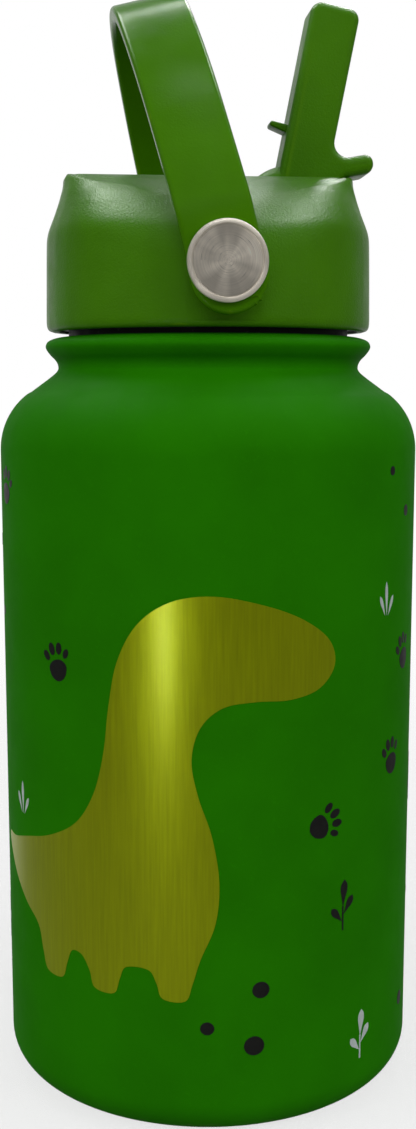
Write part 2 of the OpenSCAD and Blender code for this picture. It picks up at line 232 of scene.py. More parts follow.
class Finish:
    """A Principled material, with short calls for the nodes that vary it."""

    def __init__(self, name, **sockets):
        self.material = bpy.data.materials.new(name)
        self.material.use_nodes = True
        self.tree = self.material.node_tree
        self.shader = self.tree.nodes["Principled BSDF"]
        self.place = self.tree.nodes.new("ShaderNodeTexCoord").outputs["Object"]
        for socket, value in sockets.items():
            self.shader.inputs[socket.replace("_", " ")].default_value = value

    def node(self, kind, inputs=None, **settings):
        made = self.tree.nodes.new("ShaderNode" + kind)
        for key, value in settings.items():
            setattr(made, key, value)
        for key, value in (inputs or {}).items():
            if isinstance(value, bpy.types.NodeSocket):
                self.tree.links.new(value, made.inputs[key])
            else:
                made.inputs[key].default_value = value
        return made

    def stretched(self, scale):
        return self.node("Mapping", {"Vector": self.place, "Scale": scale}).outputs["Vector"]

    def noise(self, scale, detail=3.0, roughness=0.55, stretch=None):
        place = self.stretched(stretch) if stretch else self.place
        made = self.node("TexNoise", {
            "Vector": place, "Scale": scale, "Detail": detail, "Roughness": roughness})
        return made.outputs["Fac"]

    def span(self, value, low, high, to_low=0.0, to_high=1.0):
        """value, from low to high, mapped on to the range to_low to to_high."""
        return self.node("MapRange", {
            "Value": value, "From Min": low, "From Max": high,
            "To Min": to_low, "To Max": to_high}).outputs["Result"]

    def math(self, operation, a, b=0.0):
        return self.node("Math", {0: a, 1: b}, operation=operation).outputs[0]

    def blend(self, amount, a, b):
        made = self.node("Mix", data_type="RGBA")
        for index, value in ((0, amount), (6, a), (7, b)):
            if isinstance(value, bpy.types.NodeSocket):
                self.tree.links.new(value, made.inputs[index])
            else:
                made.inputs[index].default_value = value
        return made.outputs[2]

    def axis(self, name):
        return self.node("SeparateXYZ", {"Vector": self.place}).outputs[name]

    def set(self, socket, value):
        self.tree.links.new(value, self.shader.inputs[socket])

    def bump(self, height, strength, distance, base=None):
        inputs = {"Height": height, "Strength": strength, "Distance": distance}
        if base:
            inputs["Normal"] = base
        made = self.node("Bump", inputs).outputs["Normal"]
        self.set("Normal", made)
        return made

    def edges(self, low=0.52, high=0.60):
        """1 on convex edges, 0 on flat areas."""
        return self.span(self.node("NewGeometry").outputs["Pointiness"], low, high)


def rgb(r, g, b):
    return (r, g, b, 1.0)


def scaled(colour, factor):
    return rgb(*(c * factor for c in colour[:3]))


def powder_coat(name, colour, worn):
    """Matt powder-coated steel: fine orange peel, slight mottling, rubbed at the foot."""
    f = Finish(name, Specular_IOR_Level=0.02)
    mottle = f.blend(f.span(f.noise(55), 0.35, 0.65), scaled(colour, 0.93), scaled(colour, 1.07))
    speckle = f.span(f.noise(1500, 2), 0.60, 0.75, 0.0, 0.35)
    tone = f.blend(speckle, mottle, scaled(colour, 1.25))
    foot = f.span(f.axis("Z"), 0.0004, 0.0032, 1.0, 0.0)
    rubs = f.span(f.noise(420, 5, 0.7, (1, 1, 3)), 0.56, 0.64)
    f.set("Base Color", f.blend(f.math("MULTIPLY", foot, rubs), tone, worn))
    f.set("Roughness", f.span(f.noise(240, 4), 0.3, 0.7, 0.58, 0.70))
    peel = f.bump(f.noise(900, 3), 0.10, 0.0002)
    f.bump(f.noise(4200, 2), 0.22, 0.00005, peel)
    return f.material


def moulded_plastic(name, colour, light, grain=0.3, rough=(0.34, 0.44), specular=0.5):
    """Moulded plastic with a spark-eroded grain, and convex edges lightened towards the pale colour
    as a painted highlight.
    """
    f = Finish(name, Specular_IOR_Level=specular)
    cloud = f.blend(f.span(f.noise(70, 4), 0.3, 0.7), scaled(colour, 0.90), scaled(colour, 1.10))
    fleck = f.blend(f.span(f.noise(2600, 2), 0.66, 0.78, 0.0, 0.5), cloud, light)
    # Convex edges are lightened towards the pale colour: a painted edge highlight.
    f.set("Base Color", f.blend(f.math("MULTIPLY", f.edges(), 0.8), fleck, light))
    f.set("Roughness", f.span(f.noise(300, 4), 0.3, 0.7, *rough))
    flow = f.bump(f.noise(60, 2, 0.5, (1, 1, 2.2)), 0.10, 0.0010)
    f.bump(f.noise(2900, 3, 0.6), grain, 0.00012, flow)
    return f.material


def brushed_steel(name, colour, rough, stretch):
    """Drawn or turned steel with fine marks along the stretched direction."""
    f = Finish(name, Metallic=1.0)
    marks = f.noise(900, 6, 0.7, stretch)
    stain = f.noise(35, 4)
    tone = f.blend(f.span(marks, 0.3, 0.7), scaled(colour, 0.82), scaled(colour, 1.12))
    f.set("Base Color", f.blend(f.span(stain, 0.35, 0.75, 0.0, 0.4), tone, scaled(colour, 0.6)))
    f.set("Roughness", f.span(marks, 0.2, 0.8, *rough))
    f.bump(marks, 0.2, 0.00004)
    return f.material


def turned_steel(name, colour):
    """A pivot cap: rings left by the lathe, light and dark fans over its face as a painted
    reflection, darker towards the lower left as painted shade, and a paler rim with painted
    highlight arcs.
    """
    f = Finish(name, Anisotropic=0.6)
    place = f.node("SeparateXYZ", {"Vector": f.place})
    x = place.outputs["X"]
    z = f.math("SUBTRACT", place.outputs["Z"], PIVOT_Z * MM)
    flat = f.node("CombineXYZ", {"X": x, "Y": 0.0, "Z": z}).outputs["Vector"]
    radius = f.node("VectorMath", {0: flat}, operation="LENGTH").outputs["Value"]
    angle = f.math("ARCTAN2", z, x)
    ring_place = f.node("CombineXYZ", {
        "X": f.math("MULTIPLY", radius, 5200.0), "Y": f.math("MULTIPLY", angle, 0.55)})
    rings = f.node("TexNoise", {
        "Vector": ring_place.outputs["Vector"], "Scale": 1.0, "Detail": 4.0, "Roughness": 0.65})
    ring = rings.outputs["Fac"]
    # The light and dark fans are a painted reflection; the cosine term darkens them towards the
    # lower left as painted shade.
    reflection_fan_place = f.node("CombineXYZ", {
        "X": f.math("COSINE", angle), "Y": f.math("SINE", angle),
        "Z": f.math("MULTIPLY", radius, 90.0)})
    reflection_fans = f.node("TexNoise", {
        "Vector": reflection_fan_place.outputs["Vector"], "Scale": 1.3, "Detail": 1.5, "Roughness": 0.4})
    lower_left_shade = f.math("MULTIPLY", f.math("COSINE", f.math("SUBTRACT", angle, 3.6)), 0.16)
    painted_fan_reflection = f.span(f.math("ADD", reflection_fans.outputs["Fac"], lower_left_shade), 0.36, 0.64)
    off_centre = f.span(radius, 0.4 * MM, 3.0 * MM, 0.25, 0.75)
    rim = f.span(radius, 5.36 * MM, 5.48 * MM)
    tone = f.blend(f.span(ring, 0.3, 0.7), scaled(colour, 0.82), scaled(colour, 1.28))
    shade = f.blend(f.math("MULTIPLY", painted_fan_reflection, off_centre), tone, scaled(colour, 0.42))
    pits = f.span(f.noise(1100, 1), 0.78, 0.80)
    face = f.blend(pits, shade, rgb(0.04, 0.035, 0.03))
    f.set("Base Color", f.blend(rim, face, scaled(colour, 1.04)))
    # The rim's metallic follows the same fans, so parts of it read as bright cream arcs: a painted
    # highlight.
    rim_shine = f.span(reflection_fans.outputs["Fac"], 0.42, 0.56, 0.66, 0.20)
    f.set("Metallic", f.span(rim, 0.0, 1.0, 0.62, rim_shine))
    f.set("Roughness", f.span(ring, 0.25, 0.75, 0.24, 0.42))
    f.bump(ring, 0.45, 0.00003)
    tangent = f.node("Tangent", direction_type="RADIAL", axis="Y")
    f.set("Tangent", tangent.outputs["Tangent"])
    return f.material


def metallic_print(name, colour):
    """Gold foil print with fine upright brushing."""
    f = Finish(name, Metallic=0.7, Specular_IOR_Level=0.1,
               Coat_Weight=0.3, Coat_Roughness=0.25)
    marks = f.noise(2600, 4, 0.6, (1, 1, 0.035))
    tone = f.blend(f.span(marks, 0.3, 0.7), scaled(colour, 0.88), scaled(colour, 1.12))
    cloud = f.span(f.noise(60, 3), 0.35, 0.7, 0.0, 0.25)
    f.set("Base Color", f.blend(cloud, tone, scaled(colour, 0.8)))
    f.set("Roughness", f.span(marks, 0.2, 0.8, 0.27, 0.42))
    f.bump(marks, 0.25, 0.00004)
    return f.material


def flat_print(name, colour, rough):
    """Screen-printed ink with a little grain and worn pinholes."""
    f = Finish(name, Specular_IOR_Level=0.15)
    tone = f.blend(f.span(f.noise(700, 4), 0.3, 0.7), scaled(colour, 0.85), scaled(colour, 1.1))
    pin = f.span(f.noise(2300, 2), 0.74, 0.80, 0.0, 0.6)
    f.set("Base Color", f.blend(pin, tone, rgb(0.05, 0.12, 0.03)))
    f.set("Roughness", f.span(f.noise(500, 3), 0.3, 0.7, rough - 0.06, rough + 0.06))
    f.bump(f.noise(3000, 2), 0.15, 0.00004)
    return f.material


def rubber(name, colour, rough, specular=0.35):
    """Moulded silicone or black plastic with dust and a soft grain."""
    f = Finish(name, Specular_IOR_Level=specular)
    tone = f.blend(f.span(f.noise(140, 4), 0.3, 0.7), scaled(colour, 0.85), scaled(colour, 1.15))
    dust = f.span(f.noise(900, 4, 0.7), 0.62, 0.80, 0.0, 0.25)
    f.set("Base Color", f.blend(dust, tone, rgb(0.45, 0.45, 0.43)))
    f.set("Roughness", f.span(f.noise(350, 3), 0.3, 0.7, rough - 0.08, rough + 0.08))
    f.bump(f.noise(2400, 3), 0.2, 0.00005)
    return f.material


def clear_plastic(name, tint):
    """The milky clear straw."""
    f = Finish(name, Transmission_Weight=0.55, IOR=1.46, Specular_IOR_Level=0.5)
    f.set("Base Color", f.blend(f.span(f.noise(200, 3), 0.3, 0.7), scaled(tint, 0.92), tint))
    f.set("Roughness", f.span(f.noise(400, 3), 0.3, 0.7, 0.22, 0.36))
    f.bump(f.noise(900, 3, 0.5, (1, 1, 0.1)), 0.15, 0.00005)
    return f.material


BODY_GREEN = rgb(0.0200, 0.226, 0.0001)
LID_GREEN = rgb(0.063, 0.228, 0.0001)
# A paler green for the random flecks, and for the painted highlight on convex edges.
LID_FLECK_AND_EDGE_SHEEN = rgb(0.100, 0.280, 0.001)

coat = powder_coat("green_powder_coat", BODY_GREEN, rgb(0.09, 0.20, 0.05))
lid_plastic = moulded_plastic("green_plastic", LID_GREEN, LID_FLECK_AND_EDGE_SHEEN, 0.55, (0.33, 0.43), 0.14)
handle_plastic = moulded_plastic("green_handle", LID_GREEN, LID_FLECK_AND_EDGE_SHEEN, 0.2, (0.21, 0.27), 0.09)
steel = brushed_steel("bare_steel", rgb(0.62, 0.60, 0.57), (0.24, 0.40), (1, 1, 0.06))
turned = turned_steel("turned_steel", rgb(0.92, 0.845, 0.72))
getter = brushed_steel("getter_metal", rgb(0.20, 0.20, 0.21), (0.45, 0.60), (1, 1, 1))
bead = rubber("seal_glass", rgb(0.16, 0.17, 0.15), 0.25, 0.6)
black_plastic = rubber("black_plastic", rgb(0.010, 0.010, 0.010), 0.42)
black_silicone = rubber("black_silicone", rgb(0.012, 0.012, 0.012), 0.55)
white_silicone = rubber("white_silicone", rgb(0.70, 0.70, 0.67), 0.50)
straw_clear = clear_plastic("clear_straw", rgb(0.90, 0.93, 0.90))
gold = metallic_print("gold_print", rgb(0.42, 0.50, 0.0005))
black_ink = flat_print("black_print", rgb(0.014, 0.014, 0.013), 0.45)
white_ink = flat_print("white_print", rgb(0.62, 0.70, 0.68), 0.50)


# ---- steel body ----

VISUAL_R = BODY_R - 0.08
WALL = 0.5
BASE_CORNER = 6.3
BASE_HOLE_R = 26.03
SHOULDER_Z = 111.5
SHOULDER_R = 12.0
SHOULDER_TURN = 53
NECK_HOLE_R = 24.04


def body_profile():
    straight = [6.3 + (SHOULDER_Z - 6.3) * i / 14 for i in range(1, 14)]
    arc_x = VISUAL_R - SHOULDER_R
    outer = [(BASE_HOLE_R, 0.9), (BASE_HOLE_R + 0.05, 0.2), (BASE_HOLE_R + 0.3, 0.0)]
    outer += arc(VISUAL_R - BASE_CORNER, BASE_CORNER, BASE_CORNER, -90, 0, 16)
    outer += [(VISUAL_R, z) for z in straight]
    outer += arc(arc_x, SHOULDER_Z, SHOULDER_R, 0, SHOULDER_TURN, 18)
    # slope, groove and rolled rim
    outer += spline([
        (30.8, 121.55), (29.1, 122.8), (27.9, 123.68), (26.75, 124.6), (26.28, 125.2),
        (26.2, 125.6), (26.3, 126.2), (26.7, 126.9), (27.4, 127.6), (27.96, 128.3),
        (28.25, 128.8), (28.33, 129.2), (28.2, 129.65), (27.95, 130.0), (27.4, 130.32),
        (26.6, 130.58), (25.7, 130.75), (25.0, 130.72), (24.66, 130.6),
    ], 3)
    outer += [(24.6, 130.85), (NECK_HOLE_R, 130.85)]
    inner = [(NECK_HOLE_R, 129.9), (25.6, 129.8), (25.6, 125.5)]
    inner += arc(arc_x, SHOULDER_Z, SHOULDER_R - WALL, SHOULDER_TURN, 0, 6)
    inner += arc(VISUAL_R - BASE_CORNER, BASE_CORNER, BASE_CORNER - WALL, 0, -90, 6)
    inner += [(BASE_HOLE_R + 0.3, 0.9)]
    return outer + inner


shell = make_mesh("body_shell", revolve(body_profile(), 256))
piece(shell, coat, "bottle", ["outer_shell"], 40)


# ---- lid ----

# The front and back facets: where they would meet the level top, how they fall, and how wide
# the bend into them and the blend into the turned side are
FACET_Y = 12.3
FACET_SLOPE = 10.5 / 15.6
CREST_R = 32.0
BLEND_REACH = 4.6
# The channel that the closed spout lies in, and the round pocket for its hub
CHANNEL_HALF = 5.1
CHANNEL_END = -22.2
CHANNEL_CORNER = 1.5
CHANNEL_FLOOR = 146.7
POCKET_R = 9.6
FLOOR_FILLET = 0.5
LIP = 0.25
LID_FLAT_R = 24.0
INSERT_R = 21.45
HUB_PORT_R = 5.0
VENT_R = 3.23
VENT_X = SPOUT_X - 15.2
# Flats on the lid's sides, behind the handle's legs
FLAT_HALF = 6.6
FLAT_Y = 27.45


def lathe_distance(r, z, line):
    """Signed distance from points (r, z) to the closed profile through line and the axis."""
    closest = np.full(r.shape, 1e9)
    inside = np.zeros(r.shape, bool)
    for (r0, z0), (r1, z1) in zip(line, line[1:] + line[:1]):
        dr, dz = r1 - r0, z1 - z0
        share = np.clip(((r - r0) * dr + (z - z0) * dz) / (dr * dr + dz * dz), 0, 1)
        gap = np.hypot(r - r0 - share * dr, z - z0 - share * dz)
        if r0 > 0 or r1 > 0:
            closest = np.minimum(closest, gap)
        crosses = (z0 > z) != (z1 > z)
        inside ^= crosses & (r < r0 + (z - z0) * dr / (dz if dz else 1e-9))
    return np.where(inside, -closest, closest)


def crest_drop(y):
    """How far the lid's top has fallen at y: level in the middle, then a wide bend to the facet."""
    bend = CREST_R * FACET_SLOPE
    past = np.maximum(np.abs(y) - (FACET_Y - bend / 2), 0)
    return np.where(past < bend, past * past / (2 * CREST_R), FACET_SLOPE * (past - bend / 2))


def rounded_lid(points, line):
    """Moves points of the turned lid inwards to its sloping facets, with a soft blend.

    Each point slides towards the lid's axis until its signed distance to the blended solid is 0.
    """
    tilt = math.cos(math.atan(FACET_SLOPE))
    anchor = np.zeros_like(points)
    anchor[:, 2] = np.minimum(points[:, 2], 139)
    low, high = np.zeros(len(points)), np.ones(len(points)) * 1.02
    for _ in range(26):
        middle = (low + high) / 2
        p = anchor + (points - anchor) * middle[:, None]
        r = np.hypot(p[:, 0], p[:, 1])
        turned_gap = lathe_distance(r, p[:, 2], line)
        facet_gap = (p[:, 2] - LID_TOP + crest_drop(p[:, 1])) * tilt
        outward = np.clip((r - 18.5) / 4, 0, 1) * np.clip((np.abs(p[:, 1]) - 5.6) / 6, 0, 1)
        reach = 0.05 + BLEND_REACH * outward * outward * (3 - 2 * outward)
        near = np.maximum(reach - np.abs(turned_gap - facet_gap), 0) / reach
        gap = np.maximum(turned_gap, facet_gap) + near * near * reach / 4
        high = np.where(gap > 0, middle, high)
        low = np.where(gap > 0, low, middle)
    p = anchor + (points - anchor) * low[:, None]
    return [tuple(float(c) for c in row) for row in p]


def channel_outline():
    """The channel and hub pocket from above, counterclockwise from the +X end."""
    corner = CHANNEL_CORNER
    right = SPOUT_X + POCKET_R
    half = [(right, y) for y in (0.0, 0.9, 1.8, 2.7)]
    half += arc(right - corner, CHANNEL_HALF - corner, corner, 0, 90, 5)
    swing = [54 - 4 * i for i in range(30)]
    half += [(SPOUT_X + POCKET_R * math.sin(math.radians(a)), CHANNEL_HALF) for a in swing]
    half += [(4.6 - 0.76 * i, CHANNEL_HALF) for i in range(33)]
    half += arc(CHANNEL_END + corner, CHANNEL_HALF - corner, corner, 90, 180, 5)
    half += [(CHANNEL_END, y) for y in (2.7, 1.8, 0.9, 0.0)]
    return half + [(x, -y) for x, y in half[-2:0:-1]]


def well_floor(x):
    """Height of the bottom of the channel or of the hub pocket."""
    side = x - SPOUT_X
    pocket = SPOUT_Z - math.sqrt(max(POCKET_R ** 2 - side ** 2, 0))
    return pocket if side > 0 else min(pocket, CHANNEL_FLOOR)


LID_SIDE = [
    (LID_FLAT_R, LID_TOP), (24.45, 157.66), (24.74, 157.35), (24.87, 156.9), (24.92, 156.3),
    (25.1, 155.4), (25.4, 154.4), (25.7, 153.4), (26.05, 152.4), (26.4, 151.4), (26.8, 150.4),
    (27.2, 149.4), (27.55, 148.4), (27.76, 147.4), (27.84, 146.4), (27.88, 145.0),
    (27.94, 142.0), (28.0, 138.5), (28.06, 135.0), (28.08, 133.4), (28.03, 132.7),
    (27.88, 132.2), (27.6, 131.86), (27.2, LID_Z),
]
LID_UNDER = [(26.1, LID_Z), (26.1, 134.04), (INSERT_R, 134.04), (INSERT_R, 137.64)]


def top_at(y):
    """Height of the lid's top, before its rounded rim."""
    return LID_TOP - float(crest_drop(y))


def lid_shape():
    """Rings of points from the channel's floor up its walls, over the top and down the side."""
    outline = channel_outline()
    n = len(outline)
    widen = 4.6  # spreads the narrow channel's points evenly round the lid
    turns = [math.atan2(y * widen, x) for x, y in outline]
    rings = []
    # the channel's floor edge, its walls, and the lip at the flat top
    for k in range(4):
        turn = math.radians(30 * k)
        rings.append([
            (x, y, well_floor(x) + FLOOR_FILLET * (1 - math.cos(turn)))
            for x, y in inset(outline, FLOOR_FILLET * (1 - math.sin(turn)))
        ])
    for k in range(1, 7):
        ring = []
        for x, y in outline:
            low, high = well_floor(x) + FLOOR_FILLET, top_at(y) - LIP
            ring.append((x, y, low + (high - low) * k / 6))
        rings.append(ring)
    for k in range(1, 4):
        turn = math.radians(30 * k)
        rings.append([
            (x, y, top_at(y) - LIP * (1 - math.sin(turn)))
            for x, y in inset(outline, -LIP * (1 - math.cos(turn)))
        ])
    inner_rings = len(rings)
    # flat top, then the turned side with its facets
    lip = inset(outline, -LIP)
    across = 44
    for k in range(1, across):
        share = k / across
        rings.append([
            (x + (LID_FLAT_R * math.cos(a) - x) * share,
             y + (LID_FLAT_R * math.sin(a) - y) * share, LID_TOP)
            for (x, y), a in zip(lip, turns)
        ])
    side = spline(LID_SIDE, 3)
    for r, z in side:
        rings.append([(r * math.cos(a), r * math.sin(a), z) for a in turns])
    shaped = rounded_lid(
        np.array([v for ring in rings[inner_rings:] for v in ring]),
        [(0, LID_TOP)] + side + [(0, LID_Z)])
    rings[inner_rings:] = [shaped[k:k + n] for k in range(0, len(shaped), n)]
    for r, z in LID_UNDER:
        rings.append([(r * math.cos(a), r * math.sin(a), z) for a in turns])
    verts = [v for ring in rings for v in ring]
    faces = [
        [j * n + i, j * n + (i + 1) % n, (j + 1) * n + (i + 1) % n, (j + 1) * n + i]
        for j in range(len(rings) - 1) for i in range(n)
    ]
    # channel floor, and the disc that the threaded insert closes
    ends = 5
    half = n // 2
    faces.append([k % n for k in range(-ends, ends + 1)])
    faces += [[i, i + 1, n - i - 1, n - i] for i in range(ends, half - ends)]
    faces.append(list(range(half - ends, half + ends + 1)))
    under = (len(rings) - 1) * n
    faces.append(list(range(under, under + n)))
    return verts, faces


def box_shape(low, high):
    (x0, y0, z0), (x1, y1, z1) = low, high
    outline = [(x0, y0), (x1, y0), (x1, y1), (x0, y1)]
    verts = [(x, y, z) for z in (z0, z1) for x, y in outline]
    faces = [[3, 2, 1, 0], [4, 5, 6, 7]]
    faces += [[i, (i + 1) % 4, 4 + (i + 1) % 4, 4 + i] for i in range(4)]
    return verts, faces


def upright_cylinder(x, r, low, high):
    def place(radius, a, h):
        return x + radius * math.cos(a), radius * math.sin(a), h
    return revolve([(0, low), (r, low), (r, high), (0, high)], 64, place)


lid = make_mesh("lid_cover", lid_shape())
combine(lid, [
    # the port under the hub, the vent port, and its slot for the spout's fin
    upright_cylinder(SPOUT_X, HUB_PORT_R, 137.0, 144.2),
    upright_cylinder(VENT_X, VENT_R, 137.0, 144.1),
    box_shape((VENT_X - 1.5, -2.7, 143.7), (VENT_X + 1.5, 2.7, 148.0)),
    box_shape((-FLAT_HALF, -40, 132.55), (FLAT_HALF, -FLAT_Y, 160)),
    box_shape((-FLAT_HALF, FLAT_Y, 132.55), (FLAT_HALF, 40, 160)),
], "DIFFERENCE")
piece(lid, lid_plastic, "lid", ["lid_shell"], 38)


# ---- spout ----

LEAN = math.radians(11.2)
SPOUT_TIP = 35.65
SPOUT_HALF = 4.4
SPOUT_EDGE = 1.3
BORE_R = 2.4
HUB_R = 9.0
PIN_HOLE_R = 1.65
PIN_HOLE_IN = 2.95
# The hub's cheeks lie just inside the spout's sides
HUB_HALF = 4.28
HUB_ROUNDING = 3.0
FIN_HALF = 2.0
FIN_EDGE = 0.38


def leaned(u, w, v):
    """A point of the upright spout, u forward, v up and w along the hinge, in the open place."""
    x = u * math.cos(LEAN) + v * math.sin(LEAN)
    z = v * math.cos(LEAN) - u * math.sin(LEAN)
    return SPOUT_X + x, w, SPOUT_Z + z


def spout_plate(u, v, w):
    """For a plate drawn from the side, with its thickness along the hinge."""
    return leaned(u, -w, v)


def hub_point(r, a, h):
    """For a hub turned about the hinge."""
    return leaned(r * math.cos(a), h, r * math.sin(a))


def bore_point(r, a, h):
    """For the mouthpiece's bore, turned about the spout's own length."""
    return leaned(0.6 + r * math.cos(a), r * math.sin(a), h)


spout_outline = filleted([
    (-3.6, -4.0, 0), (5.0, -5.0, 0), (7.4, -1.0, 0), (7.5, 8.3, 0.9), (12.75, 10.4, 1.75),
    (11.5, 13.42, 1.45), (4.8, 10.8, 2.3), (4.8, SPOUT_TIP, 1.9), (-3.6, SPOUT_TIP, 1.9),
], 8)
fin_outline = filleted([
    (-3.0, 13.85, 0), (-3.0, 15.35, 0), (-6.6, 15.45, 0.42), (-6.5, 14.55, 0.42),
], 4)

hub_profile = [(0, -HUB_HALF)] + [
    (HUB_R - HUB_ROUNDING * (1 - math.sin(a)), -HUB_HALF + HUB_ROUNDING * (1 - math.cos(a)))
    for a in [math.radians(90 * k / 9) for k in range(10)]
]
hub_profile += [(r, -h) for r, h in reversed(hub_profile)]
bore_profile = [
    (0, 3.0), (BORE_R, 3.0), (BORE_R, SPOUT_TIP - 0.65), (BORE_R + 0.65, SPOUT_TIP + 0.05),
    (BORE_R + 0.65, SPOUT_TIP + 1.35), (0, SPOUT_TIP + 1.35),
]

spout = make_mesh("spout_body", slab(
    spout_outline, -SPOUT_HALF, SPOUT_HALF, SPOUT_EDGE, spout_plate, 7))
combine(spout, [
    revolve(hub_profile, 96, hub_point),
    slab(fin_outline, -FIN_HALF, FIN_HALF, FIN_EDGE, spout_plate, 3),
], "UNION")
combine(spout, [revolve(bore_profile, 64, bore_point)], "DIFFERENCE")
bored(spout, PIN_HOLE_R, [(-HUB_R, -PIN_HOLE_IN), (PIN_HOLE_IN, HUB_R)], hub_point)
piece(spout, lid_plastic, "spout", ["spout"], 30)


# ---- carry handle ----

HANDLE_LEAN = math.radians(-13.8)
LEG_Y = 30.2
EYE_R = 3.06
STRAP_HALF_W = 5.9
STRAP_HALF_T = 1.3
STRAP_EDGE = 0.75
FOOT_R = 6.1
FOOT_DROP = 1.9


def arch_line():
    """The strap's middle line from the front pivot over the crown, as (across, up) points."""
    side_centre = (18 - 53.5) * math.cos(math.radians(45))
    half = [(LEG_Y, z * 0.5) for z in range(0, 13)]
    half += arc(LEG_Y - 12, 6.5, 12, 0, 20, 8)
    half += arc(side_centre, 27.2 + side_centre, 53.5, 21, 45, 24)
    half += arc(0, 27.2, 18, 47, 90, 24)
    line = half + [(-y, z) for y, z in half[-2::-1]]
    smooth = []
    for i, point in enumerate(line):
        reach = min(3, i, len(line) - 1 - i)
        near = line[i - reach:i + reach + 1]
        smooth.append(Vector((sum(p[0] for p in near), sum(p[1] for p in near))) / len(near))
    return smooth


class Strap:
    """Bends a flat strap, given by its own (along, across, out) places, into the arch."""

    def __init__(self):
        self.line = arch_line()
        self.at = [0.0]
        for a, b in zip(self.line, self.line[1:]):
            self.at.append(self.at[-1] + (b - a).length)
        self.length = self.at[-1]

    def middle(self, s):
        """The middle line's point at s along it, and its direction there."""
        if s <= 0:
            return self.line[0] + Vector((0, s)), Vector((0, 1))
        if s >= self.length:
            return self.line[-1] - Vector((0, s - self.length)), Vector((0, -1))
        i = max(k for k in range(len(self.at) - 1) if self.at[k] <= s)
        share = (s - self.at[i]) / (self.at[i + 1] - self.at[i])
        ways = [self.line[min(k + 1, len(self.line) - 1)] - self.line[max(k - 1, 0)]
                for k in (i, i + 1)]
        way = ways[0].normalized().lerp(ways[1].normalized(), share)
        return self.line[i].lerp(self.line[i + 1], share), way.normalized()

    def place(self, s, across, out):
        """The bent place of a point, in millimetres."""
        middle, way = self.middle(s)
        y = middle.x + out * way.y
        up = middle.y - out * way.x
        x = across * math.cos(HANDLE_LEAN) + up * math.sin(HANDLE_LEAN)
        z = up * math.cos(HANDLE_LEAN) - across * math.sin(HANDLE_LEAN)
        return x, -y, PIVOT_Z + z


strap = Strap()


def foot_edge(angle):
    """Radius of the rounded foot, with two small moulding nubs low on one side."""
    nubs = sum(h * math.exp(-((angle - a) / 1.6) ** 2) for a, h in ((-52, 0.34), (-61, 0.2)))
    return FOOT_R + nubs


def strap_outline():
    """The strap laid flat, as (along, across) points from the front foot and back to it."""
    left, right = [], []
    for k in range(31):
        angle = 2 + 88 * k / 30 if k < 30 else 90
        for edge, sign in ((left, -1), (right, 1)):
            r = foot_edge(-90 + angle) if sign > 0 else FOOT_R
            edge.append((-FOOT_DROP - r * math.sin(math.radians(90 - angle)),
                         sign * r * math.cos(math.radians(90 - angle))))
    taper = [(0.35, 6.09), (1.1, 6.0), (2.0, 5.93), (3.0, STRAP_HALF_W)]
    along = [(-FOOT_DROP + s + 0.6, w) for s, w in taper]
    steps = 150
    along += [(2.5 + (strap.length - 5) * i / steps, STRAP_HALF_W) for i in range(1, steps)]
    along += [(strap.length - s, w) for s, w in reversed(along[:4])]
    far = [(strap.length + FOOT_DROP + FOOT_R * math.sin(math.radians(a)),
            FOOT_R * math.cos(math.radians(a))) for a in [88 * k / 30 for k in range(31)]]
    one = right + along + far
    two = left + [(s, -w) for s, w in along + far]
    return two + one[::-1]


def eye_point(r, a, h):
    """For the feet's holes that the studs go through, turned about the pivot line."""
    return r * math.cos(a), h, PIVOT_Z + r * math.sin(a)


handle = make_mesh("carry_strap", slab(
    strap_outline(), -STRAP_HALF_T, STRAP_HALF_T, STRAP_EDGE, strap.place, 5, strips=True))
bored(handle, EYE_R, [(-LEG_Y - 3, -LEG_Y + 3), (LEG_Y - 3, LEG_Y + 3)], eye_point)
piece(handle, handle_plastic, "handle", ["carry_handle"], 35)


# ---- pivot caps ----

def cap_profile():
    rim = [(5.24, 0.0), (6.12, 0.0), (CAP_R, 0.12), (CAP_R, 0.92), (6.2, 1.1), (5.86, 1.37),
           (5.72, 1.4), (5.58, 1.38), (5.5, 1.3), (5.47, 1.16), (5.38, 1.13), (5.3, 1.18)]
    grooves = []
    for k in range(34):
        r = 5.2 - 0.15 * k
        deep = 0.022 if abs(r - 2.2) < 0.2 else 0.007
        grooves.append((r, 1.2 - (deep if k % 2 else 0.0)))
    return [(0, 0.64), (5.24, 0.64)] + rim + grooves + [(0.12, 1.19), (0, 1.12)]


for side, name in ((-1, "front"), (1, "rear")):
    seat = LEG_Y + STRAP_HALF_T + 0.1

    def cap_point(r, a, h, side=side, seat=seat):
        return r * math.cos(a), side * (seat + h), PIVOT_Z + r * math.sin(a)

    cap = make_mesh("pivot_cap_" + name, revolve(cap_profile(), 128, cap_point))
    piece(cap, turned, "lid", ["stud_cap_" + name], 28)


# ---- printed decoration ----

PRINT_R = BODY_R - 0.03
PRINT_DEPTH = 0.12
PRINT_STEP = 1.2


def wrapped(u, v, w, turn):
    """u along the body's side, v up and w out from it, with turn in degrees from the front."""
    a = math.radians(turn - VIEW_TURN) + u / BODY_R
    r = PRINT_R + w
    return r * math.sin(a), -r * math.cos(a), v


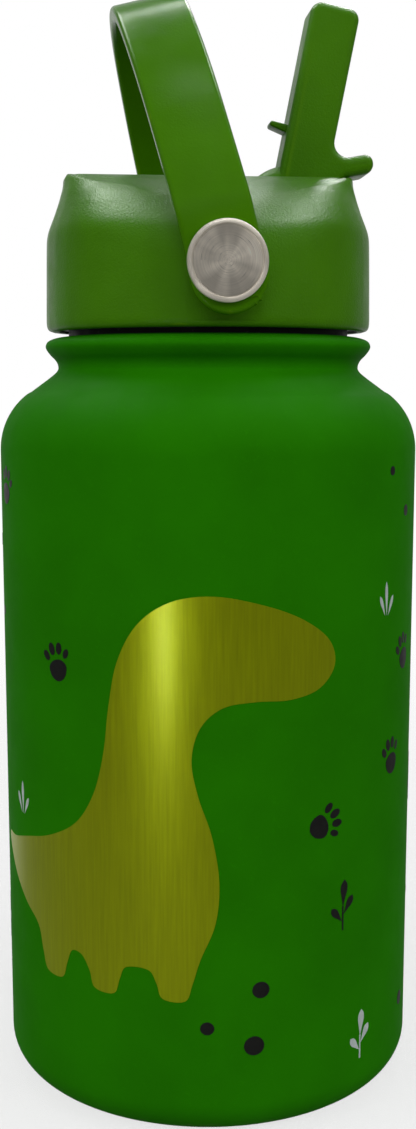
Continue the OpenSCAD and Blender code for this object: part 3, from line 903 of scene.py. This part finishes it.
def printed(name, outlines, turn, height, material):
    """Thin printed shapes laid on the body, each a closed outline in millimetres."""
    bm = bmesh.new()
    for outline in outlines:
        bm.faces.new([bm.verts.new((u, v, 0)) for u, v in outline])
    # upright cuts, so that the shape can follow the round body
    low = min(p[0] for o in outlines for p in o)
    high = max(p[0] for o in outlines for p in o)
    cut = math.ceil(low / PRINT_STEP) * PRINT_STEP
    while cut < high:
        every = bm.verts[:] + bm.edges[:] + bm.faces[:]
        bmesh.ops.bisect_plane(bm, geom=every, plane_co=(cut, 0, 0), plane_no=(1, 0, 0))
        cut += PRINT_STEP
    bm.verts.ensure_lookup_table()
    bm.normal_update()
    bm.verts.index_update()
    flat = [(v.co.x, v.co.y + height) for v in bm.verts]
    verts = [wrapped(u, v, 0, turn) for u, v in flat]
    verts += [wrapped(u, v, -PRINT_DEPTH, turn) for u, v in flat]
    faces = []
    for face in bm.faces:
        loop = [v.index for v in face.verts]
        if face.normal.z < 0:
            loop.reverse()
        faces += [loop, [k + len(flat) for k in reversed(loop)]]
        for a, b in zip(loop, loop[1:] + loop[:1]):
            edge = bm.edges.get((bm.verts[a], bm.verts[b]))
            if edge.is_boundary:
                faces.append([a + len(flat), b + len(flat), b, a])
    bm.free()
    obj = make_mesh(name, (verts, faces), tidy_normals=False)
    return piece(obj, material, "bottle", sharp=50)


def turned_by(outline, tilt, cx=0.0, cy=0.0):
    """An outline turned by tilt degrees about its own origin, then moved to (cx, cy)."""
    t = math.radians(tilt)
    return [(cx + x * math.cos(t) - y * math.sin(t), cy + x * math.sin(t) + y * math.cos(t))
            for x, y in outline]


def oval(cx, cy, rx, ry, tilt=0.0, steps=28):
    turns = [2 * math.pi * k / steps for k in range(steps)]
    return turned_by([(rx * math.cos(a), ry * math.sin(a)) for a in turns], tilt, cx, cy)


def leaf(cx, cy, length, width, tilt):
    """A pointed leaf that grows from (cx, cy)."""
    side = [(0.0, 0.0), (0.30, 0.36), (0.5, 0.62), (0.42, 0.84), (0.0, 1.0)]
    curve = spline(side, 5)
    ring = [(x * width, y * length) for x, y in curve]
    ring += [(-x * width, y * length) for x, y in curve[-2:0:-1]]
    return turned_by(ring, tilt, cx, cy)


def footprint(tilt):
    pad = spline([(0, -2.4), (1.5, -1.7), (2.1, -0.1), (1.1, 1.0), (-0.6, 1.1), (-1.9, 0.2),
                  (-1.5, -1.6)], 5, closed=True)
    toes = [oval(-2.2, 2.1, 0.62, 0.95, 30), oval(-0.7, 3.0, 0.68, 1.05, 8),
            oval(1.0, 2.9, 0.66, 1.0, -14), oval(2.4, 1.9, 0.55, 0.85, -38)]
    return [turned_by(outline, tilt) for outline in [pad] + toes]


def tuft():
    return [leaf(0, 0, 5.6, 0.85, 2), leaf(-0.5, 0, 3.8, 0.8, 26), leaf(0.5, 0, 3.6, 0.8, -28)]


def sprig():
    stem = [(-0.17, -3.2), (0.17, -3.2), (0.15, 1.0), (-0.15, 1.0)]
    return [stem, leaf(0, 0.9, 4.6, 1.5, -4), leaf(-0.2, -1.6, 3.4, 1.3, 42),
            leaf(0.2, -0.4, 3.5, 1.3, -36)]


def longneck():
    """A plain long-necked dinosaur seen from the side, with its head to the right."""
    return spline([
        (21.5, 78.5), (20.4, 82.6), (15.6, 86.2), (9.0, 88.8), (1.0, 90.4), (-6.0, 89.4),
        (-11.4, 85.6), (-14.8, 79.5), (-16.4, 72.0), (-17.4, 64.5), (-19.4, 57.5),
        (-23.2, 52.0), (-29.5, 48.6), (-36.5, 46.6), (-42.5, 45.0), (-46.9, 44.4),
        (-43.6, 39.6), (-38.0, 35.0), (-33.4, 32.0), (-31.9, 27.8), (-30.6, 24.7),
        (-26.8, 24.5), (-25.6, 27.2), (-24.4, 29.8), (-22.2, 29.6), (-20.6, 27.2),
        (-19.6, 24.5), (-15.9, 24.3), (-14.8, 27.0), (-13.6, 29.2), (-9.8, 29.2),
        (-8.4, 27.0), (-7.4, 24.5), (-3.7, 24.3), (-2.5, 27.2), (-1.2, 31.4), (1.2, 37.4),
        (1.8, 44.4), (0.6, 52.0), (-1.6, 58.6), (-2.6, 64.4), (-1.2, 69.6), (2.4, 72.8),
        (7.6, 73.6), (13.4, 73.6), (18.6, 75.0),
    ], 6, closed=True)


def mirrored(outline):
    return [(-u, v) for u, v in outline][::-1]


printed("print_longneck_front", [longneck()], 0, 0, gold)
back = [(u * 0.72 + 6, (v - 25) * 0.72 + 30) for u, v in longneck()]
printed("print_longneck_back", [mirrored(back)], 176, 0, gold)

FOOTPRINTS = [(-42.1, 77.5, 12), (30.4, 52.2, -72), (65.9, 77.1, 20), (58.3, 59.8, 10),
              (-69.3, 105.1, -15), (-97, 62, 30), (104, 96, -20), (122, 44, 40),
              (-128, 92, -30), (150, 100, 15), (-112, 22, -60), (-152, 74, 20), (88, 30, 15)]
TUFTS = [(54.1, 85.0), (-60.1, 50.2), (112, 66), (-104, 84), (146, 20), (-140, 57)]
WHITE_SPRIGS = [(45.1, 12.5), (-82, 26), (128, 78), (-160, 16)]
BLACK_SPRIGS = [(37.7, 36.6), (82, 52), (-120, 50), (-166, 98)]
DOTS = [(56.0, 108.8, 0.8), (65.7, 101.9, 1.0), (13.6, 25.9, 1.45), (-0.2, 19.7, 1.15),
        (11.9, 16.4, 1.7), (69.7, 14.3, 1.3), (-82, 96, 1.1), (-76, 84, 0.9), (96, 74, 1.2),
        (104, 56, 0.9), (-108, 106, 1.3), (-136, 30, 1.5), (-143, 24, 1.0), (134, 108, 1.0),
        (150, 52, 1.3), (165, 24, 1.5), (172, 16, 1.0)]

for i, (turn, z, tilt) in enumerate(FOOTPRINTS):
    printed(f"print_foot_{i}", footprint(tilt), turn, z, black_ink)
for i, (turn, z) in enumerate(TUFTS):
    printed(f"print_tuft_{i}", tuft(), turn, z, white_ink)
for i, (turn, z) in enumerate(WHITE_SPRIGS):
    printed(f"print_sprig_white_{i}", sprig(), turn, z, white_ink)
for i, (turn, z) in enumerate(BLACK_SPRIGS):
    printed(f"print_sprig_black_{i}", sprig(), turn, z, black_ink)
for i, (turn, z, r) in enumerate(DOTS):
    printed(f"print_dot_{i}", [oval(0, 0, r, r * 0.96)], turn, z, black_ink)


# ---- finishes of the CAD nodes that stay ----

KEPT = {
    "base_disc": steel, "inner_liner": steel, "liner_bottom_cup": steel, "spout_pin": steel,
    "handle_stud_front": steel, "handle_stud_rear": steel, "getter_holder": steel,
    "getter_pellet": getter, "vacuum_seal_bead": bead, "lid_seal_ring": black_silicone,
    "threaded_insert": black_plastic, "drinking_straw": straw_clear,
    "spout_seat_seal": white_silicone, "vent_plug_seal": white_silicone,
}
for name, material in KEPT.items():
    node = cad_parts[name]
    node.data.materials.clear()
    node.data.materials.append(material)


# ---- floor, light and camera ----

def floor_material():
    f = Finish("pale_floor", Specular_IOR_Level=0.1)
    tone = f.blend(f.noise(3, 3), rgb(0.90, 0.90, 0.90), rgb(0.93, 0.93, 0.93))
    f.set("Base Color", tone)
    f.set("Roughness", f.span(f.noise(20, 3), 0.3, 0.7, 0.75, 0.85))
    reach = f.node("VectorMath", {0: f.place}, operation="LENGTH").outputs["Value"]
    f.set("Alpha", f.span(reach, 0.05, 0.45, 0.15, 0.0))
    return f.material


floor = make_mesh("floor", revolve([(0, -0.5), (600, -0.5), (600, 0), (0, 0)], 128))
floor.data.materials.append(floor_material())


def aimed(obj, place, target):
    obj.location = place
    way = Vector(target) - Vector(place)
    obj.rotation_mode = "QUATERNION"
    obj.rotation_quaternion = way.to_track_quat("-Z", "Y")


def softbox(name, azimuth, elevation, distance, size, radiance, seen_in="both"):
    """A soft light that faces the lid. Azimuth 0 is the camera's side and 90 is on its right."""
    a, e = math.radians(azimuth - VIEW_TURN), math.radians(elevation)
    way = Vector((math.sin(a) * math.cos(e), -math.cos(a) * math.cos(e), math.sin(e)))
    light = bpy.data.lights.new(name, "AREA")
    light.shape = "RECTANGLE"
    light.size, light.size_y = size
    light.energy = radiance * math.pi * size[0] * size[1]
    obj = bpy.data.objects.new(name, light)
    scene.collection.objects.link(obj)
    middle = Vector((0, 0, 0.1))
    aimed(obj, middle + way * distance, middle)
    obj.visible_camera = False
    obj.visible_glossy = seen_in != "diffuse"
    obj.visible_diffuse = seen_in != "gloss"


def studio_world():
    """Dim surroundings with a white backdrop. The camera itself sees plain white all round."""
    world = bpy.data.worlds.new("studio")
    world.use_nodes = True
    tree = world.node_tree
    tree.nodes.clear()

    def node(kind, **settings):
        made = tree.nodes.new("ShaderNode" + kind)
        for key, value in settings.items():
            setattr(made, key, value)
        return made

    place = node("TexCoord")
    split = node("SeparateXYZ")
    tree.links.new(place.outputs["Generated"], split.inputs[0])
    depth = node("MapRange")
    tree.links.new(split.outputs["Y"], depth.inputs["Value"])
    for key, value in {"From Min": 0.60, "From Max": 0.90, "To Min": 0.15, "To Max": 1.0}.items():
        depth.inputs[key].default_value = value
    lit, seen = node("Background"), node("Background")
    tree.links.new(depth.outputs["Result"], lit.inputs["Strength"])
    seen.inputs["Color"].default_value = rgb(1.0, 1.0, 1.0)
    seen.inputs["Strength"].default_value = 1.0
    choose, path, out = node("MixShader"), node("LightPath"), node("OutputWorld")
    tree.links.new(path.outputs["Is Camera Ray"], choose.inputs[0])
    tree.links.new(lit.outputs[0], choose.inputs[1])
    tree.links.new(seen.outputs[0], choose.inputs[2])
    tree.links.new(choose.outputs[0], out.inputs["Surface"])
    return world


scene = bpy.context.scene
scene.world = studio_world()
softbox("left", -58, 28, 1.0, (0.7, 0.7), 2.0, "diffuse")
softbox("right", 58, 28, 1.0, (0.7, 0.7), 2.0, "diffuse")
softbox("front", 0, 35, 1.1, (0.8, 0.5), 1.6, "diffuse")
softbox("above", 0, 88, 0.9, (0.4, 0.4), 2.2, "diffuse")
softbox("high_left", -118, 60, 0.8, (0.36, 0.30), 18.0, "gloss")
softbox("high_right", 106, 62, 0.8, (0.24, 0.22), 27.0, "gloss")
softbox("high_back", 160, 50, 0.8, (0.12, 0.16), 44.0, "gloss")
softbox("high_top", 180, 70, 0.8, (0.30, 0.06), 30.0, "gloss")
softbox("high_front", 0, 67, 0.8, (0.14, 0.06), 17.0, "gloss")
softbox("card_left", -21, -12, 0.22, (0.014, 0.03), 22.0, "gloss")
softbox("card_cap", 4, 16, 0.6, (0.20, 0.12), 0.3, "gloss")
scene.view_settings.view_transform = "Standard"

camera_data = bpy.data.cameras.new("camera")
camera_data.sensor_width = 36
camera_data.lens = CAMERA_LENS
camera_data.shift_y = CAMERA_SHIFT_Y
camera_data.clip_start = 0.01
camera_data.clip_end = 50
camera = bpy.data.objects.new("camera", camera_data)
scene.collection.objects.link(camera)
turn, down = math.radians(VIEW_TURN), math.radians(CAMERA_DOWN)
stand = Vector((-math.sin(turn), -math.cos(turn), 0)) * CAMERA_DISTANCE
stand.z = CAMERA_Z
look = Vector((math.sin(turn) * math.cos(down), math.cos(turn) * math.cos(down), -math.sin(down)))
aimed(camera, stand * MM, stand * MM + look)
scene.camera = camera
